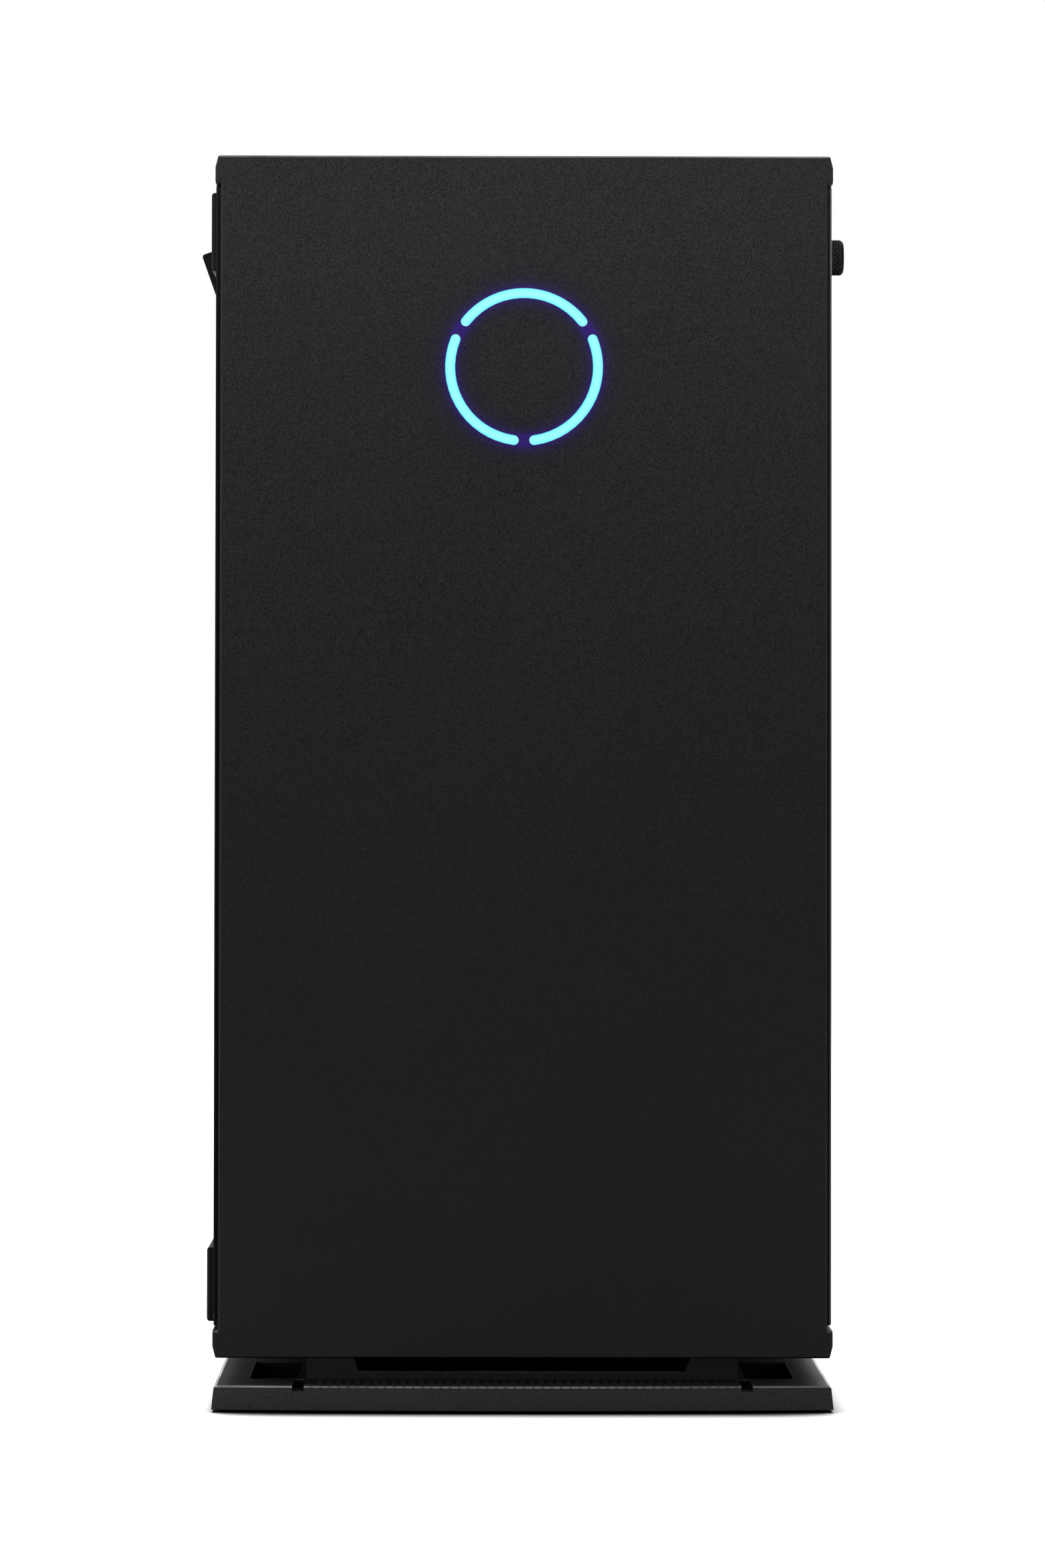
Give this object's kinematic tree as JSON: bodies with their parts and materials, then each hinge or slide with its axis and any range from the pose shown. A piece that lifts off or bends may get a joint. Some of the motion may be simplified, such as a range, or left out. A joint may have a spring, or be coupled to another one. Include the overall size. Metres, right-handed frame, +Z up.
{
  "type": "desktop computer tower",
  "caption": "Compact black tower computer on a flared stand, plain fascia with a lit ring emblem, tilting glass side panel with pull lever, steel side panel with knurled thumbscrew.",
  "frame": {"origin": "middle of the footprint on the table, under the rubber pads", "axes": "+Z up, -Y towards the front fascia, +X to the viewer's right as seen from the front"},
  "size_m": [0.2117, 0.3685, 0.3815],
  "materials": {
    "black_sheet": "satin",
    "inner_steel": "satin",
    "tinted_glass": "polished",
    "black_plastic": "satin",
    "stand_plastic": "satin",
    "light_guide": "translucent",
    "circuit_board": "satin",
    "bare_steel": "brushed",
    "fin_aluminium": "bare",
    "dark_aluminium": "anodised",
    "soft_rubber": "matt",
    "mesh_nylon": "woven",
    "brass_post": "bare",
    "fan_plastic": "satin",
    "cable_jacket": "braided"
  },
  "bodies": {
    "chassis": {"front_fascia": "black_sheet", "top_cover": "black_sheet", "bottom_shell": "black_sheet", "rear_wall": "inner_steel", "motherboard_tray": "inner_steel", "psu_shroud": "inner_steel", "front_frame": "inner_steel", "slot_covers": "inner_steel", "emblem_light_guide": "light_guide", "emblem_led_board": "circuit_board", "stand_base": "stand_plastic", "stand_neck": "stand_plastic", "intake_mesh_strip": "mesh_nylon", "foot_pads": "soft_rubber", "io_bezel": "black_plastic", "usb_ports": "bare_steel", "audio_jacks": "black_plastic", "io_board": "circuit_board", "motherboard": "circuit_board", "board_standoffs": "brass_post", "chassis_screws": "bare_steel", "rear_ports": "bare_steel", "io_shield": "bare_steel", "processor": "bare_steel", "cpu_heatsink": "fin_aluminium", "cpu_fan_frame": "fan_plastic", "memory_slots": "black_plastic", "memory_modules": "dark_aluminium", "board_heatsinks": "dark_aluminium", "expansion_slots": "black_plastic", "storage_stick": "circuit_board", "card_board": "circuit_board", "card_heatsink": "fin_aluminium", "card_shroud": "black_plastic", "card_bracket": "bare_steel", "psu_housing": "inner_steel", "psu_power_inlet": "black_plastic", "rear_fan_frame": "fan_plastic", "intake_fan_frame": "fan_plastic", "board_power_cable": "cable_jacket", "disk_drive": "dark_aluminium"},
    "glass_panel": {"glass_pane": "tinted_glass", "glass_top_rail": "black_plastic", "glass_bottom_rail": "black_plastic", "panel_magnets": "bare_steel", "latch_pin": "bare_steel"},
    "lever": {"latch_lever": "black_plastic"},
    "steel_panel": {"right_side_panel": "black_sheet"},
    "thumbscrew": {"panel_thumbscrew": "dark_aluminium"},
    "dust_filter": {"filter_frame": "black_plastic", "filter_mesh": "mesh_nylon"},
    "power_key": {"power_button": "black_plastic"},
    "reset_key": {"reset_button": "black_plastic"},
    "rear_rotor": {"rear_fan_rotor": "fan_plastic"},
    "intake_rotor": {"intake_fan_rotor": "fan_plastic"},
    "cooler_rotor": {"cpu_fan_rotor": "fan_plastic"},
    "card_rotor_front": {"card_fan_front": "fan_plastic"},
    "card_rotor_rear": {"card_fan_rear": "fan_plastic"},
    "supply_rotor": {"psu_fan_rotor": "fan_plastic"},
    "mains_rocker": {"psu_rocker_switch": "black_plastic"}
  },
  "joints": [
    {"name": "glass_panel_tilt", "type": "hinge", "parent": "chassis", "child": "glass_panel", "pos_m": [-0.0897, 0, 0.0213], "axis": [0, -1, 0], "range_deg": [0, 15]},
    {"name": "latch_lever_pivot", "type": "hinge", "parent": "glass_panel", "child": "lever", "pos_m": [-0.0961, 0, 0.3461], "axis": [0, -1, 0], "range_deg": [-19, 26]},
    {"name": "steel_panel_tilt", "type": "hinge", "parent": "chassis", "child": "steel_panel", "pos_m": [0.0897, 0, 0.0213], "axis": [0, 1, 0], "range_deg": [0, 15]},
    {"name": "thumbscrew_turn", "type": "hinge", "parent": "steel_panel", "child": "thumbscrew", "pos_m": [0.094, 0, 0.3653], "axis": [1, 0, 0], "continuous": true},
    {"name": "dust_filter_slide", "type": "slide", "parent": "chassis", "child": "dust_filter", "axis": [0, 1, 0], "range_m": [0, 0.24]},
    {"name": "power_button_press", "type": "slide", "parent": "chassis", "child": "power_key", "axis": [0, 0, -1], "range_m": [0, 0.0015], "stiffness_N_per_m": 400, "springref_m": -0.001},
    {"name": "reset_button_press", "type": "slide", "parent": "chassis", "child": "reset_key", "axis": [0, 0, -1], "range_m": [0, 0.0015], "stiffness_N_per_m": 400, "springref_m": -0.001},
    {"name": "rear_fan_spin", "type": "hinge", "parent": "chassis", "child": "rear_rotor", "pos_m": [-0.03263, 0.1798, 0.287], "axis": [0, 1, 0], "continuous": true},
    {"name": "intake_fan_spin", "type": "hinge", "parent": "chassis", "child": "intake_rotor", "pos_m": [-0.0057, -0.1395, 0.242], "axis": [0, 1, 0], "continuous": true},
    {"name": "cooler_fan_spin", "type": "hinge", "parent": "chassis", "child": "cooler_rotor", "pos_m": [-0.0141, 0.062, 0.287], "axis": [0, 1, 0], "continuous": true},
    {"name": "card_fan_front_spin", "type": "hinge", "parent": "chassis", "child": "card_rotor_front", "pos_m": [0.0034, 0.01193, 0.15225], "axis": [0, 0, 1], "continuous": true},
    {"name": "card_fan_rear_spin", "type": "hinge", "parent": "chassis", "child": "card_rotor_rear", "pos_m": [0.0034, 0.11307, 0.15225], "axis": [0, 0, 1], "continuous": true},
    {"name": "supply_fan_spin", "type": "hinge", "parent": "chassis", "child": "supply_rotor", "pos_m": [-0.0079, 0.1098, 0.021], "axis": [0, 0, 1], "continuous": true},
    {"name": "mains_rocker_pivot", "type": "hinge", "parent": "chassis", "child": "mains_rocker", "pos_m": [0.0431, 0.1753, 0.081], "axis": [1, 0, 0], "range_deg": [-16, 0]}
  ]
}
